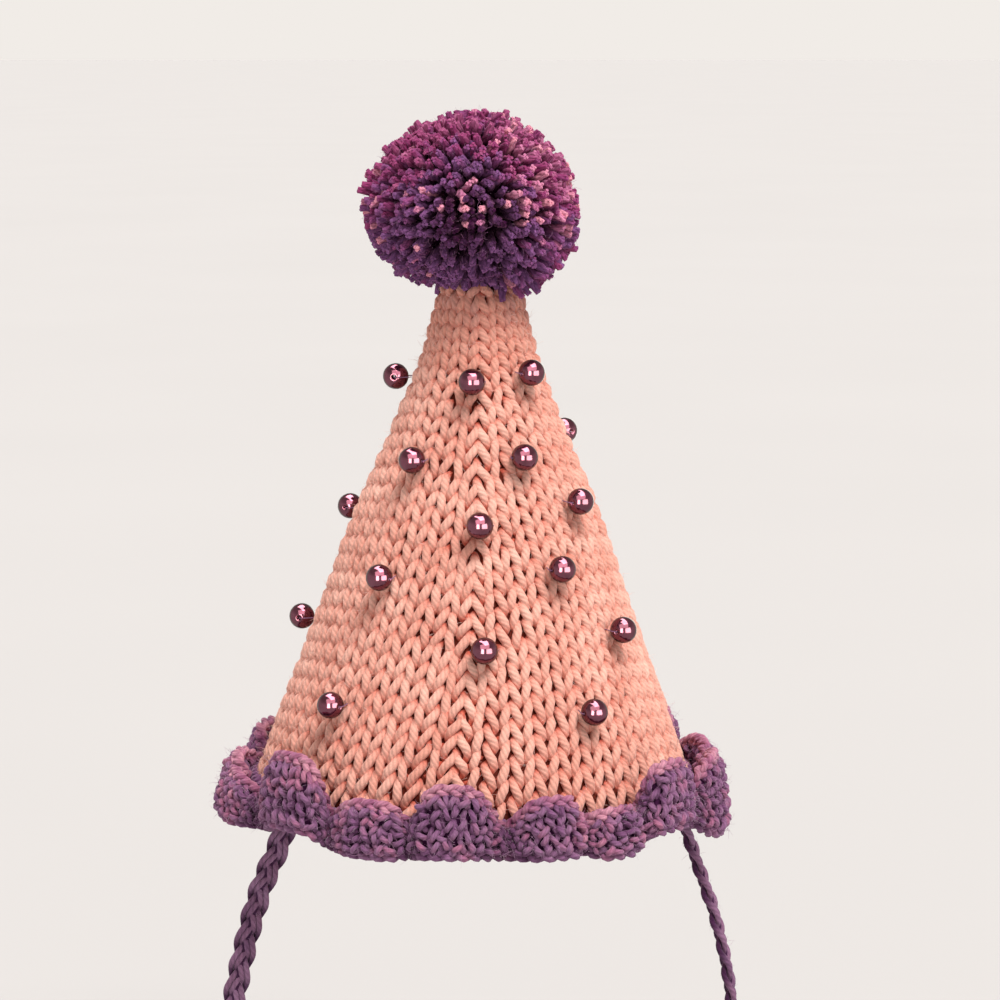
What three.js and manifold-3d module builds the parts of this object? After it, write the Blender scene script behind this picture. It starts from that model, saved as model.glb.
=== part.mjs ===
// Knit party hat: a tall knitted cone with a fluted crocheted edge, a yarn pompom on its tip,
// pearls sewn over it and one plaited chin strap. Millimetres, +Z up the cone, -Y is the front.
// The origin is the middle of the crown's opening.

import * as THREE from 'three';
import { mergeVertices } from 'three/addons/utils/BufferGeometryUtils.js';
import Module from 'manifold-3d';

const wasm = await Module();
wasm.setup();

// Driving sizes
const crownHeight = 118;
const rimRadius = 49.8;
const knitThickness = 3.4;
const crownLean = 2.1;
const decreaseRidge = 0.7;
const decreaseLines = 4;
const frontLineTurn = -6;
const rimDip = 0.7;

const bandWidth = 13;
const bandThickness = 3.6;
const foldDepth = 5;
const foldRoundness = 2.6;
const seamDepth = 2.6;
const seamInset = 3;
const seamOverlap = 1.2;

const pompomRadius = 24;
const pompomFlattening = 0.87;
const pompomCoreShare = 0.8;
const pompomRise = 12.5;
const pompomShift = -2.2;
const lockCount = 50;
const lockRadius = 4.3;

const pearlRadius = 3;
const pearlBore = 0.5;

const strapRadius = 2.6;
const sewingGap = 0.3;

// How finely the round shapes are cut
const crownFacets = 44;
const crownRings = 18;
const crownInnerRings = 9;
const lockSides = 5;
const pearlSides = 10;
const pearlArc = 5;
const strapSides = 10;
const strapStep = 12;

// Crown: height as a share of crownHeight, reach as a share of rimRadius
const crownSections = [
  { height: 0.000, reach: 1.000 },
  { height: 0.127, reach: 0.892 },
  { height: 0.246, reach: 0.785 },
  { height: 0.335, reach: 0.709 },
  { height: 0.424, reach: 0.635 },
  { height: 0.532, reach: 0.542 },
  { height: 0.631, reach: 0.440 },
  { height: 0.729, reach: 0.343 },
  { height: 0.828, reach: 0.257 },
  { height: 0.924, reach: 0.197 },
  { height: 0.966, reach: 0.165 },
  { height: 1.000, reach: 0.060 },
];

// Fluted edge, one row a fold: turn in degrees from the front towards +X, reach as a share of
// foldDepth, lift and drop of its upper and lower edge as shares of bandWidth, splay of the
// lower edge as a share of foldDepth, swing of the lower edge in degrees round the rim
const folds = [
  { turn: -74, reach: 1.00, lift: 0.15, drop: 0.60, splay: 0.20, swing: -2.5 },
  { turn: -46, reach: 0.90, lift: 0.92, drop: 0.30, splay: 0.35, swing: 3.0 },
  { turn: -24, reach: 0.75, lift: 0.30, drop: 0.56, splay: 0.20, swing: 2.0 },
  { turn: -3, reach: 0.90, lift: 0.66, drop: 0.48, splay: 0.30, swing: -3.0 },
  { turn: 19, reach: 0.70, lift: 0.40, drop: 0.56, splay: 0.25, swing: 2.0 },
  { turn: 34, reach: 0.80, lift: 0.08, drop: 0.66, splay: 0.20, swing: 1.5 },
  { turn: 52, reach: 0.95, lift: 0.72, drop: 0.40, splay: 0.35, swing: -3.5 },
  { turn: 79, reach: 1.00, lift: 0.44, drop: 1.00, splay: 0.10, swing: 2.0 },
  { turn: 103, reach: 0.85, lift: 0.28, drop: 0.72, splay: 0.20, swing: -1.5 },
  { turn: 127, reach: 0.90, lift: 0.56, drop: 0.50, splay: 0.30, swing: 2.0 },
  { turn: 151, reach: 0.80, lift: 0.25, drop: 0.62, splay: 0.20, swing: -1.5 },
  { turn: 176, reach: 0.95, lift: 0.50, drop: 0.50, splay: 0.30, swing: 2.0 },
  { turn: 200, reach: 0.80, lift: 0.22, drop: 0.62, splay: 0.20, swing: -2.0 },
  { turn: 222, reach: 0.90, lift: 0.58, drop: 0.48, splay: 0.30, swing: 1.5 },
  { turn: 243, reach: 0.95, lift: 0.40, drop: 0.62, splay: 0.25, swing: -1.5 },
  { turn: 264, reach: 0.80, lift: 0.15, drop: 0.62, splay: 0.20, swing: 1.5 },
];
const betweenFolds = { reach: 0, lift: -0.08, drop: 0.68, splay: 0, swing: 0 };

// How far each facet of the band stands from one fold to the next, close together in the valley
const bandStations = [0, 0.22, 0.37, 0.46, 0.54, 0.63, 0.78];

// Pearls, row by row: each one's turn in degrees from the front, and its height on the crown as
// a share of crownHeight
const pearlRows = [
  { name: 'top', seats: [[-98, 0.762], [-5, 0.771], [42, 0.784], [142, 0.775], [-158, 0.770]] },
  { name: 'upper', seats: [[-35, 0.623], [25, 0.631], [124, 0.644], [178, 0.632], [-140, 0.626]] },
  { name: 'middle', seats: [[-111, 0.496], [1, 0.513], [52, 0.542], [135, 0.520], [-168, 0.512]] },
  { name: 'lower', seats: [[-37, 0.411], [34, 0.428], [133, 0.422], [180, 0.415], [-136, 0.426]] },
  { name: 'low', seats: [[-101, 0.280], [3, 0.292], [57, 0.301], [140, 0.290], [-156, 0.296]] },
  { name: 'hem', seats: [[-44, 0.174], [36, 0.169], [130, 0.176], [177, 0.170], [-131, 0.172]] },
];

// Pompom locks that stand out of the round: tilt in degrees above the level, turn in degrees
// from the front, reach as a share of the pompom's radius in that direction
const strayLocks = [
  { tilt: 80, turn: 60, reach: 1.04 },
  { tilt: 6, turn: -88, reach: 1.05 },
  { tilt: -24, turn: -80, reach: 1.04 },
  { tilt: -22, turn: 86, reach: 1.07 },
  { tilt: -50, turn: 62, reach: 1.12 },
  { tilt: -50, turn: 10, reach: 0.98 },
  { tilt: -52, turn: -50, reach: 0.96 },
];

// Chin strap: its whole run from the left seam, round below and up to the right seam
const strapRoute = [
  [-42.4, -21.0, -3.3],
  [-42.4, -21.0, -9.0],
  [-48.4, -18.6, -25.0],
  [-53.6, -16.0, -45.0],
  [-56.2, -14.0, -62.0],
  [-55.0, -12.0, -80.0],
  [-47.0, -10.0, -98.0],
  [-31.0, -8.0, -112.0],
  [-9.0, -6.5, -119.0],
  [15.0, -5.0, -118.5],
  [37.0, -3.5, -110.0],
  [52.0, -2.0, -95.0],
  [60.0, -0.5, -76.0],
  [61.0, 1.5, -57.0],
  [57.4, 4.0, -38.0],
  [52.2, 6.4, -22.5],
  [48.2, 8.4, -10.0],
  [47.6, 8.4, -3.3],
];

const paint = {
  salmon: { color: '#d78e7d', roughness: 0.92, metalness: 0 },
  mauve: { color: '#7c5a7e', roughness: 0.92, metalness: 0 },
  plum: { color: '#5e2850', roughness: 0.95, metalness: 0 },
  pearl: { color: '#6b3c58', roughness: 0.18, metalness: 0.6 },
  strap: { color: '#6c4b66', roughness: 0.92, metalness: 0 },
};

const radians = (degrees) => degrees * Math.PI / 180;
const mix = (a, b, share) => a + (b - a) * share;
const halfWave = (share) => (1 - Math.cos(Math.PI * share)) / 2;

// A smooth line through a table's rows: cubic between rows, with each row's slope taken from
// the rows beside it
function along(rows, column, height) {
  const last = rows.length - 1;
  const slope = (i) => {
    const below = rows[Math.max(i - 1, 0)];
    const above = rows[Math.min(i + 1, last)];
    return (above[column] - below[column]) / (above.height - below.height);
  };
  let i = rows.findIndex((row) => row.height > height) - 1;
  if (i < 0) i = height < rows[0].height ? 0 : last - 1;
  const span = rows[i + 1].height - rows[i].height;
  const t = Math.min(Math.max((height - rows[i].height) / span, 0), 1);
  const rise = t * t * (3 - 2 * t);
  const start = t * (1 - t) * (1 - t) * span * slope(i);
  const end = t * t * (t - 1) * span * slope(i + 1);
  return mix(rows[i][column], rows[i + 1][column], rise) + start + end;
}

// Turn 0 faces the front, and turns grow towards +X
function around(radius, turn, height) {
  const lean = crownLean * height / crownHeight;
  const angle = radians(turn);
  return new THREE.Vector3(radius * Math.sin(angle) + lean, -radius * Math.cos(angle), height);
}

function ridge(turn) {
  const wave = Math.cos(radians(decreaseLines * (turn - frontLineTurn)));
  return decreaseRidge * Math.pow((1 + wave) / 2, 6);
}

function crownRadius(turn, height) {
  return rimRadius * along(crownSections, 'reach', height / crownHeight) + ridge(turn);
}

// The crown's wall: how far in its inner face stands, and how its rim waves up and down
function crownPoint(radius, height, turn) {
  const share = height / crownHeight;
  const wave = Math.cos(radians(decreaseLines * (turn - frontLineTurn)));
  const rim = Math.max(1 - share * 6, 0);
  const raise = rimDip * rim * (1 - wave) / 2;
  const onWall = radius > 0 ? Math.max(radius + ridge(turn), 0) : 0;
  const point = around(onWall, turn, height);
  point.z += raise;
  return point;
}

function crownGeometry() {
  const profile = [];
  const innerTip = crownHeight - knitThickness * 1.5;
  profile.push(new THREE.Vector2(0, innerTip));
  for (let i = crownInnerRings; i >= 0; i -= 1) {
    const height = 0.985 * innerTip * i / crownInnerRings;
    const outer = rimRadius * along(crownSections, 'reach', height / crownHeight);
    profile.push(new THREE.Vector2(Math.max(outer - knitThickness, 1.2), height));
  }
  for (let i = 0; i <= crownRings; i += 1) {
    const height = crownHeight * Math.pow(i / crownRings, 0.9);
    const radius = rimRadius * along(crownSections, 'reach', height / crownHeight);
    profile.push(new THREE.Vector2(radius, height));
  }
  profile.push(new THREE.Vector2(0, crownHeight));
  const geometry = new THREE.LatheGeometry(profile, crownFacets);
  const position = geometry.attributes.position;
  for (let i = 0; i < position.count; i += 1) {
    const x = position.getX(i);
    const z = position.getZ(i);
    const turn = THREE.MathUtils.radToDeg(Math.atan2(x, z));
    const point = crownPoint(Math.hypot(x, z), position.getY(i), turn);
    position.setXYZ(i, point.x, point.y, point.z);
  }
  geometry.computeVertexNormals();
  return geometry;
}

// The value of one column at a turn: at a fold it is the fold's own, halfway to the next fold
// it is the valley's
function foldValue(column, turn) {
  const whole = ((turn - folds[0].turn) % 360 + 360) % 360 + folds[0].turn;
  let i = folds.length - 1;
  while (folds[i].turn > whole) i -= 1;
  const next = folds[(i + 1) % folds.length];
  const nextTurn = i + 1 < folds.length ? next.turn : next.turn + 360;
  const share = (whole - folds[i].turn) / (nextTurn - folds[i].turn);
  const fold = share < 0.5 ? folds[i] : next;
  const away = Math.pow(halfWave(1 - Math.abs(2 * share - 1)), foldRoundness);
  return mix(fold[column], betweenFolds[column], away);
}

const bandSeat = rimRadius + decreaseRidge + sewingGap + bandThickness / 2;

// A point of the fluted band: across runs from its upper edge 0 to its lower edge 1, out from
// its inner face -1 to its outer face 1
function bandPoint(turn, across, out) {
  const reach = foldDepth * foldValue('reach', turn);
  const splay = foldDepth * foldValue('splay', turn) * across;
  const bow = 0.5 * Math.sin(Math.PI * across) * reach / foldDepth;
  const top = bandWidth * foldValue('lift', turn);
  const bottom = -bandWidth * foldValue('drop', turn);
  const swing = foldValue('swing', turn) * mix(0.4, 1, across);
  const radius = bandSeat + reach * (0.6 + 0.4 * across) + splay * 0.5 + bow;
  return around(radius + out * bandThickness / 2, turn + swing, mix(top, bottom, across));
}

// The band's section: across and out of each corner, once round its rounded edges
const bandSection = [
  { across: 0.00, out: -0.45 },
  { across: 0.00, out: 0.45 },
  { across: 0.15, out: 1.00 },
  { across: 0.85, out: 1.00 },
  { across: 1.00, out: 0.45 },
  { across: 1.00, out: -0.45 },
  { across: 0.85, out: -1.00 },
  { across: 0.15, out: -1.00 },
];

function bandGeometry() {
  const positions = [];
  const faces = [];
  const corners = bandSection.length;
  const turns = folds.flatMap((fold, i) => {
    const next = i + 1 < folds.length ? folds[i + 1].turn : folds[0].turn + 360;
    return bandStations.map((share) => mix(fold.turn, next, share));
  });
  for (const turn of turns) {
    for (const corner of bandSection) {
      const point = bandPoint(turn, corner.across, corner.out);
      positions.push(point.x, point.y, point.z);
    }
  }
  for (let i = 0; i < turns.length; i += 1) {
    const here = i * corners;
    const there = ((i + 1) % turns.length) * corners;
    for (let j = 0; j < corners; j += 1) {
      const k = (j + 1) % corners;
      faces.push(here + j, there + k, there + j);
      faces.push(here + j, here + k, there + k);
    }
  }
  const geometry = new THREE.BufferGeometry();
  geometry.setAttribute('position', new THREE.Float32BufferAttribute(positions, 3));
  geometry.setIndex(faces);
  return geometry;
}

// The ring of stitches that sews the band to the rim, just under the knitted wall
function seamGeometry() {
  const inner = rimRadius - seamInset;
  const outer = bandSeat - bandThickness / 2 + seamOverlap;
  const profile = [
    new THREE.Vector2(inner, -sewingGap - seamDepth),
    new THREE.Vector2(outer, -sewingGap - seamDepth),
    new THREE.Vector2(outer, -sewingGap),
    new THREE.Vector2(inner, -sewingGap),
    new THREE.Vector2(inner, -sewingGap - seamDepth),
  ];
  return new THREE.LatheGeometry(profile, crownFacets).rotateX(Math.PI / 2);
}

function toSolid(geometry) {
  const bare = geometry.clone();
  bare.deleteAttribute('normal');
  bare.deleteAttribute('uv');
  const merged = mergeVertices(bare, 1e-4);
  return new wasm.Manifold(new wasm.Mesh({
    numProp: 3,
    vertProperties: new Float32Array(merged.attributes.position.array),
    triVerts: new Uint32Array(merged.index.array),
  }));
}

function fromSolid(solid) {
  const mesh = solid.getMesh();
  const geometry = new THREE.BufferGeometry();
  geometry.setAttribute('position', new THREE.BufferAttribute(mesh.vertProperties, 3));
  geometry.setIndex(new THREE.BufferAttribute(mesh.triVerts, 1));
  geometry.computeVertexNormals();
  return geometry;
}

function ruffleGeometry() {
  return fromSolid(toSolid(bandGeometry()).add(toSolid(seamGeometry())).simplify(0.01));
}

const pompomCentre = around(0, 0, crownHeight + pompomRise);
pompomCentre.x += pompomShift;

function direction(tilt, turn) {
  const level = Math.cos(radians(tilt));
  const angle = radians(turn);
  return new THREE.Vector3(level * Math.sin(angle), -level * Math.cos(angle), Math.sin(radians(tilt)));
}

function pompomReach(way) {
  return pompomRadius / Math.hypot(way.x, way.y, way.z / pompomFlattening);
}

// One blunt lock of yarn ends, thin at the heart of the pompom and full at its outside
function lockGeometry(way, length) {
  const geometry = new THREE.CylinderGeometry(lockRadius, lockRadius * 0.45, length, lockSides, 1);
  geometry.translate(0, length / 2, 0);
  const turn = new THREE.Quaternion().setFromUnitVectors(new THREE.Vector3(0, 1, 0), way);
  geometry.applyQuaternion(turn);
  geometry.translate(pompomCentre.x, pompomCentre.y, pompomCentre.z);
  return geometry;
}

// The space that the crown's tip takes inside the pompom, one gap larger than the tip
function tipSpace() {
  const steps = 6;
  const from = crownHeight * 0.8;
  const profile = [new THREE.Vector2(0, from)];
  for (let i = 0; i <= steps; i += 1) {
    const height = mix(from, crownHeight, i / steps);
    const reach = rimRadius * along(crownSections, 'reach', height / crownHeight);
    profile.push(new THREE.Vector2(reach + decreaseRidge + 2 * sewingGap, height));
  }
  const top = crownHeight + 2 * sewingGap;
  profile.push(new THREE.Vector2(rimRadius * crownSections.at(-1).reach + decreaseRidge, top));
  profile.push(new THREE.Vector2(0, top));
  const geometry = new THREE.LatheGeometry(profile, crownFacets / 2).rotateX(Math.PI / 2);
  geometry.translate(crownLean, 0, 0);
  return geometry;
}

function pompomGeometry() {
  const core = new THREE.IcosahedronGeometry(pompomRadius * pompomCoreShare, 2);
  core.scale(1, 1, pompomFlattening);
  core.translate(pompomCentre.x, pompomCentre.y, pompomCentre.z);
  let solid = toSolid(core);
  const goldenTurn = 137.508;
  for (let i = 0; i < lockCount; i += 1) {
    const tilt = THREE.MathUtils.radToDeg(Math.asin(1 - 2 * (i + 0.5) / lockCount));
    const way = direction(tilt, goldenTurn * i);
    const uneven = 0.975 + 0.03 * Math.sin(i * 2.4);
    solid = solid.add(toSolid(lockGeometry(way, pompomReach(way) * uneven)));
  }
  for (const lock of strayLocks) {
    const way = direction(lock.tilt, lock.turn);
    solid = solid.add(toSolid(lockGeometry(way, pompomReach(way) * lock.reach)));
  }
  return fromSolid(solid.subtract(toSolid(tipSpace())).simplify(0.02));
}

// A drilled pearl, its bore along Y
function pearlGeometry() {
  const lip = Math.asin(pearlBore / pearlRadius);
  const profile = [];
  for (let i = 0; i <= pearlArc; i += 1) {
    const angle = mix(-Math.PI / 2 + lip, Math.PI / 2 - lip, i / pearlArc);
    profile.push(new THREE.Vector2(pearlRadius * Math.cos(angle), pearlRadius * Math.sin(angle)));
  }
  profile.push(profile[0].clone());
  return new THREE.LatheGeometry(profile, pearlSides);
}

// Seats a pearl on the knitting, one gap off it, with its bore lying across the rows
function seatPearl(pearl, turn, height) {
  const step = 0.5;
  const here = around(crownRadius(turn, height), turn, height);
  const up = around(crownRadius(turn, height + step), turn, height + step).sub(here).normalize();
  const side = around(crownRadius(turn + step, height), turn + step, height).sub(here).normalize();
  const outward = side.clone().cross(up).normalize();
  pearl.position.copy(here).addScaledVector(outward, pearlRadius + sewingGap);
  const bore = outward.clone().cross(up);
  const basis = new THREE.Matrix4().makeBasis(up, bore, up.clone().cross(bore));
  pearl.quaternion.setFromRotationMatrix(basis);
}

function strapGeometry() {
  const route = new THREE.CatmullRomCurve3(strapRoute.map((point) => new THREE.Vector3(...point)));
  const section = new THREE.Shape();
  for (let i = 0; i < strapSides; i += 1) {
    const angle = 2 * Math.PI * i / strapSides;
    const x = strapRadius * Math.cos(angle);
    const y = strapRadius * Math.sin(angle);
    if (i === 0) section.moveTo(x, y);
    else section.lineTo(x, y);
  }
  section.closePath();
  return new THREE.ExtrudeGeometry(section, {
    steps: Math.round(route.getLength() / strapStep),
    extrudePath: route,
    bevelEnabled: false,
  });
}

function piece(name, geometry, look) {
  const mesh = new THREE.Mesh(geometry, new THREE.MeshStandardMaterial(paint[look]));
  mesh.name = name;
  return mesh;
}

const hat = new THREE.Group();
hat.add(piece('crown', crownGeometry(), 'salmon'));
hat.add(piece('ruffle', ruffleGeometry(), 'mauve'));
hat.add(piece('pompom', pompomGeometry(), 'plum'));
hat.add(piece('chin_strap', strapGeometry(), 'strap'));
for (const row of pearlRows) {
  row.seats.forEach(([turn, height], i) => {
    const pearl = piece(`pearl_${row.name}_${i + 1}`, pearlGeometry(), 'pearl');
    seatPearl(pearl, turn, height * crownHeight);
    hat.add(pearl);
  });
}

export default hat;
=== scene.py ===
"""Looks of a knit party hat: the stitches, yarn ends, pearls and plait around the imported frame."""

import math

import bpy
import numpy as np
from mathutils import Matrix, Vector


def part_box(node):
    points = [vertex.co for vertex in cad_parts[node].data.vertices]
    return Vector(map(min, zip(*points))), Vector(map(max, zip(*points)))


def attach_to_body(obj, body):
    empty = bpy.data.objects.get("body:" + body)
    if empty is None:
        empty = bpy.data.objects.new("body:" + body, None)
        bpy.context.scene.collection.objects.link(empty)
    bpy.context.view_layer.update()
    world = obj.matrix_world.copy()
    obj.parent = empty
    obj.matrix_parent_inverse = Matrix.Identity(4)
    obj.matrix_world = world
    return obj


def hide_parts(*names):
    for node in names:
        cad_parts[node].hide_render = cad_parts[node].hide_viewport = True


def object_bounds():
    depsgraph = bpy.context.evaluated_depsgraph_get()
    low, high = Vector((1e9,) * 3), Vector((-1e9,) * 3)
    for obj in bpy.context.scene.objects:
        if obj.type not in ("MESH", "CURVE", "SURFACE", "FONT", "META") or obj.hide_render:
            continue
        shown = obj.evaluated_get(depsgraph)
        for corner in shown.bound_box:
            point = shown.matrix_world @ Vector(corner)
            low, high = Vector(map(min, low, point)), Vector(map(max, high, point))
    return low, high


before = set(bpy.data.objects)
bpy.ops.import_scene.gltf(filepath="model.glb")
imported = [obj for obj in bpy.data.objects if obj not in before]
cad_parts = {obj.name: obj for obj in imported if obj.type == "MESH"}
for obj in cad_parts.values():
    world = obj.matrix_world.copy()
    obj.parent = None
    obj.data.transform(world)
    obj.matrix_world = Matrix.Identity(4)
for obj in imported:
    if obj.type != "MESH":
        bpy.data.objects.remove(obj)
cad_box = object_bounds()

MM = 0.001

# The hat's own sizes in millimetres
CROWN_HEIGHT = 118
RIM_RADIUS = 49.8
CROWN_LEAN = 2.1
DECREASE_RIDGE = 0.7
DECREASE_LINES = 4
BAND_WIDTH = 13
BAND_THICKNESS = 3.6
FOLD_DEPTH = 5
FOLD_ROUNDNESS = 2.6
SEWING_GAP = 0.3
SEAM_DEPTH = 2.6
SEAM_INSET = 3
POMPOM_RADIUS = 24
POMPOM_FLATTENING = 0.87
POMPOM_RISE = 12.5
POMPOM_SHIFT = -2.2
PEARL_RADIUS = 3
PEARL_BORE = 0.5

# Height and reach of the crown, as shares of its height and its rim's radius
CROWN_SECTIONS = np.array([
    (0.000, 1.000), (0.127, 0.892), (0.246, 0.785), (0.335, 0.709), (0.424, 0.635), (0.532, 0.542),
    (0.631, 0.440), (0.729, 0.343), (0.828, 0.257), (0.924, 0.197), (0.966, 0.165), (1.000, 0.060),
])

# Folds of the fluted edge: turn, reach, lift, drop, splay, swing
FOLDS = np.array([
    (-74, 1.00, 0.15, 0.60, 0.20, -2.5),
    (-46, 0.90, 0.92, 0.30, 0.35, 3.0),
    (-24, 0.75, 0.30, 0.56, 0.20, 2.0),
    (-3, 0.90, 0.66, 0.48, 0.30, -3.0),
    (19, 0.70, 0.40, 0.56, 0.25, 2.0),
    (34, 0.80, 0.08, 0.66, 0.20, 1.5),
    (52, 0.95, 0.72, 0.40, 0.35, -3.5),
    (79, 1.00, 0.44, 1.00, 0.10, 2.0),
    (103, 0.85, 0.28, 0.72, 0.20, -1.5),
    (127, 0.90, 0.56, 0.50, 0.30, 2.0),
    (151, 0.80, 0.25, 0.62, 0.20, -1.5),
    (176, 0.95, 0.50, 0.50, 0.30, 2.0),
    (200, 0.80, 0.22, 0.62, 0.20, -2.0),
    (222, 0.90, 0.58, 0.48, 0.30, 1.5),
    (243, 0.95, 0.40, 0.62, 0.25, -1.5),
    (264, 0.80, 0.15, 0.62, 0.20, 1.5),
])
# The valley between two folds, where the crochet is drawn up tight
BETWEEN_FOLDS = np.array((0, -0.08, 0.56, 0, 0))

# The chin strap's run from seam to seam, in millimetres
STRAP_ROUTE = [
    (-42.4, -21.0, -3.3),
    (-42.4, -21.0, -9.0),
    (-48.4, -18.6, -25.0),
    (-53.6, -16.0, -45.0),
    (-56.2, -14.0, -62.0),
    (-55.0, -12.0, -80.0),
    (-47.0, -10.0, -98.0),
    (-31.0, -8.0, -112.0),
    (-9.0, -6.5, -119.0),
    (15.0, -5.0, -118.5),
    (37.0, -3.5, -110.0),
    (52.0, -2.0, -95.0),
    (60.0, -0.5, -76.0),
    (61.0, 1.5, -57.0),
    (57.4, 4.0, -38.0),
    (52.2, 6.4, -22.5),
    (48.2, 8.4, -10.0),
    (47.6, 8.4, -3.3),
]

# Yarn and gauge in millimetres
STITCH_WIDTH = 5.25
ROW_PITCH = 4.2
NECK_PITCH = 3.3
NECK_HEIGHT = 96
LOOP_HALF_HEIGHT = 3.8
LOOP_SWAY = 0.225
LOOP_DEPTH = 0.95
KNIT_YARN = 1.06
LEG_SWELL = (0.82, 0.18)
# Painted shade at the neck, under the pompom: how far the tone drops there
NECK_SHADE = 0.26
POINTS_PER_STITCH = 14
FIRST_ROW = 2.4
STRETCH_HEIGHT = 40
STITCH_STRETCH = 0.19
ROW_STRETCH = 0.13
LAST_ROW_HEIGHT = 113

rng = np.random.default_rng(20)


def linear(code):
    """An sRGB hex colour as linear RGBA."""
    parts = [int(code[i:i + 2], 16) / 255 for i in (1, 3, 5)]
    return [c / 12.92 if c <= 0.04045 else ((c + 0.055) / 1.055) ** 2.4 for c in parts] + [1]


def add(tree, kind, links=None, **settings):
    """One node, with its settings, and its inputs set to a value or joined to another socket."""
    node = tree.nodes.new(kind)
    for name, value in settings.items():
        setattr(node, name, value)
    for socket, source in (links or {}).items():
        if isinstance(source, bpy.types.NodeSocket):
            tree.links.new(source, node.inputs[socket])
        else:
            node.inputs[socket].default_value = source
    return node


def calc(tree, operation, *values):
    """One step of arithmetic on numbers or sockets. Gives the socket of its result."""
    return add(tree, "ShaderNodeMath", dict(enumerate(values)), operation=operation).outputs[0]


def show(name, data):
    """An object of the scene for a mesh, lamp or camera."""
    shown = bpy.data.objects.new(name, data)
    bpy.context.scene.collection.objects.link(shown)
    return shown


# The camera: as far and as high as the photograph's, looking 8.5 degrees down

PIXELS = 1000
MM_PER_PIXEL = 0.23
CAMERA_DISTANCE = 700
CAMERA_DROP = math.radians(8.5)
VIEW_CENTRE = (6.4, 0, 62.8)
SENSOR = 36


def make_camera():
    camera = bpy.data.cameras.new("camera")
    camera.sensor_width = SENSOR
    camera.lens = SENSOR * CAMERA_DISTANCE / (PIXELS * MM_PER_PIXEL)
    camera.clip_start = 0.01
    spot = show("camera", camera)
    back = CAMERA_DISTANCE * math.cos(CAMERA_DROP)
    up = CAMERA_DISTANCE * math.sin(CAMERA_DROP)
    x, y, z = VIEW_CENTRE
    spot.location = (x * MM, (y - back) * MM, (z + up) * MM)
    spot.rotation_euler = (math.pi / 2 - CAMERA_DROP, 0, 0)
    bpy.context.scene.camera = spot


make_camera()


# Forms of the crown

def smooth_share(share):
    """A share from 0 to 1 that starts and ends level."""
    return share * share * (3 - 2 * share)


def smooth_line(table, at):
    """A smooth line through a table's rows, with each row's slope taken from those beside it."""
    place, value = table[:, 0], table[:, 1]
    slope = np.empty(len(table))
    slope[1:-1] = (value[2:] - value[:-2]) / (place[2:] - place[:-2])
    slope[0] = (value[1] - value[0]) / (place[1] - place[0])
    slope[-1] = (value[-1] - value[-2]) / (place[-1] - place[-2])
    i = np.clip(np.searchsorted(place, at, side="right") - 1, 0, len(table) - 2)
    span = place[i + 1] - place[i]
    t = (at - place[i]) / span
    inside = np.clip(t, 0, 1)
    curve = value[i] + (value[i + 1] - value[i]) * smooth_share(inside)
    curve += inside * (1 - inside) ** 2 * span * slope[i]
    curve += inside ** 2 * (inside - 1) * span * slope[i + 1]
    below = np.minimum(t, 0) * span * slope[i]
    return curve + below


def crown_reach(height):
    return RIM_RADIUS * smooth_line(CROWN_SECTIONS, np.asarray(height) / CROWN_HEIGHT)


def around(radius, turn, height):
    """Millimetres to a place in metres. Turn 0 faces the front and grows towards +X."""
    x = radius * np.sin(turn) + CROWN_LEAN * height / CROWN_HEIGHT
    return np.stack([x, -radius * np.cos(turn), height * np.ones_like(x)], axis=-1) * MM


LINE_DRIFT = math.radians(-7)
LINE_DRIFT_HEIGHT = 55
LINE_DRIFT_CURVE = 1.5
MOST_DRIFT_SHARE = 1.1
RIDGE_SHARPNESS = 6


def line_turn(height):
    """Where the front decrease line stands: it drifts left towards the rim."""
    share = np.clip(1 - np.asarray(height) / LINE_DRIFT_HEIGHT, 0, None)
    return LINE_DRIFT * np.minimum(share, MOST_DRIFT_SHARE) ** LINE_DRIFT_CURVE


def ridge(turn, height):
    """How far the knitting stands out along the decrease lines."""
    wave = np.cos(DECREASE_LINES * (turn - line_turn(height)))
    return DECREASE_RIDGE * ((1 + wave) / 2) ** RIDGE_SHARPNESS


# Distance up the cloth from the rim, against height and reach
CLOTH_FOOT = -12
CLOTH_HEIGHTS = np.linspace(CLOTH_FOOT, CROWN_HEIGHT - 1, 400)
CLOTH_REACHES = crown_reach(CLOTH_HEIGHTS)
CLOTH_STEPS = np.hypot(np.diff(CLOTH_HEIGHTS), np.diff(CLOTH_REACHES))
CLOTH_UP = np.concatenate([[0], np.cumsum(CLOTH_STEPS)])
CLOTH_UP -= np.interp(0, CLOTH_HEIGHTS, CLOTH_UP)
CLOTH_SLOPES = np.diff(CLOTH_REACHES) / np.diff(CLOTH_UP)
PANEL_HALF_TURN = math.pi / DECREASE_LINES
KNIT_MIDDLE = LOOP_DEPTH + KNIT_YARN
RIM_DIP_SHARE = 0.45
FULL_DIP_AT = 26


def cloth_reach(up):
    return np.interp(up, CLOTH_UP, CLOTH_REACHES)


def cloth_height(up):
    return np.interp(up, CLOTH_UP, CLOTH_HEIGHTS)


def cloth_slope(up):
    return np.interp(up, CLOTH_UP[1:], CLOTH_SLOPES)


def cloth_dip(side, up):
    """How far a row sags away from its panel's middle, because a flat panel is bent round."""
    full = side ** 2 * np.clip(-cloth_slope(up), 0.1, 0.4) / (2 * cloth_reach(up))
    share = np.clip(up / FULL_DIP_AT, 0, 1)
    return full * (RIM_DIP_SHARE + (1 - RIM_DIP_SHARE) * share)


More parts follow.
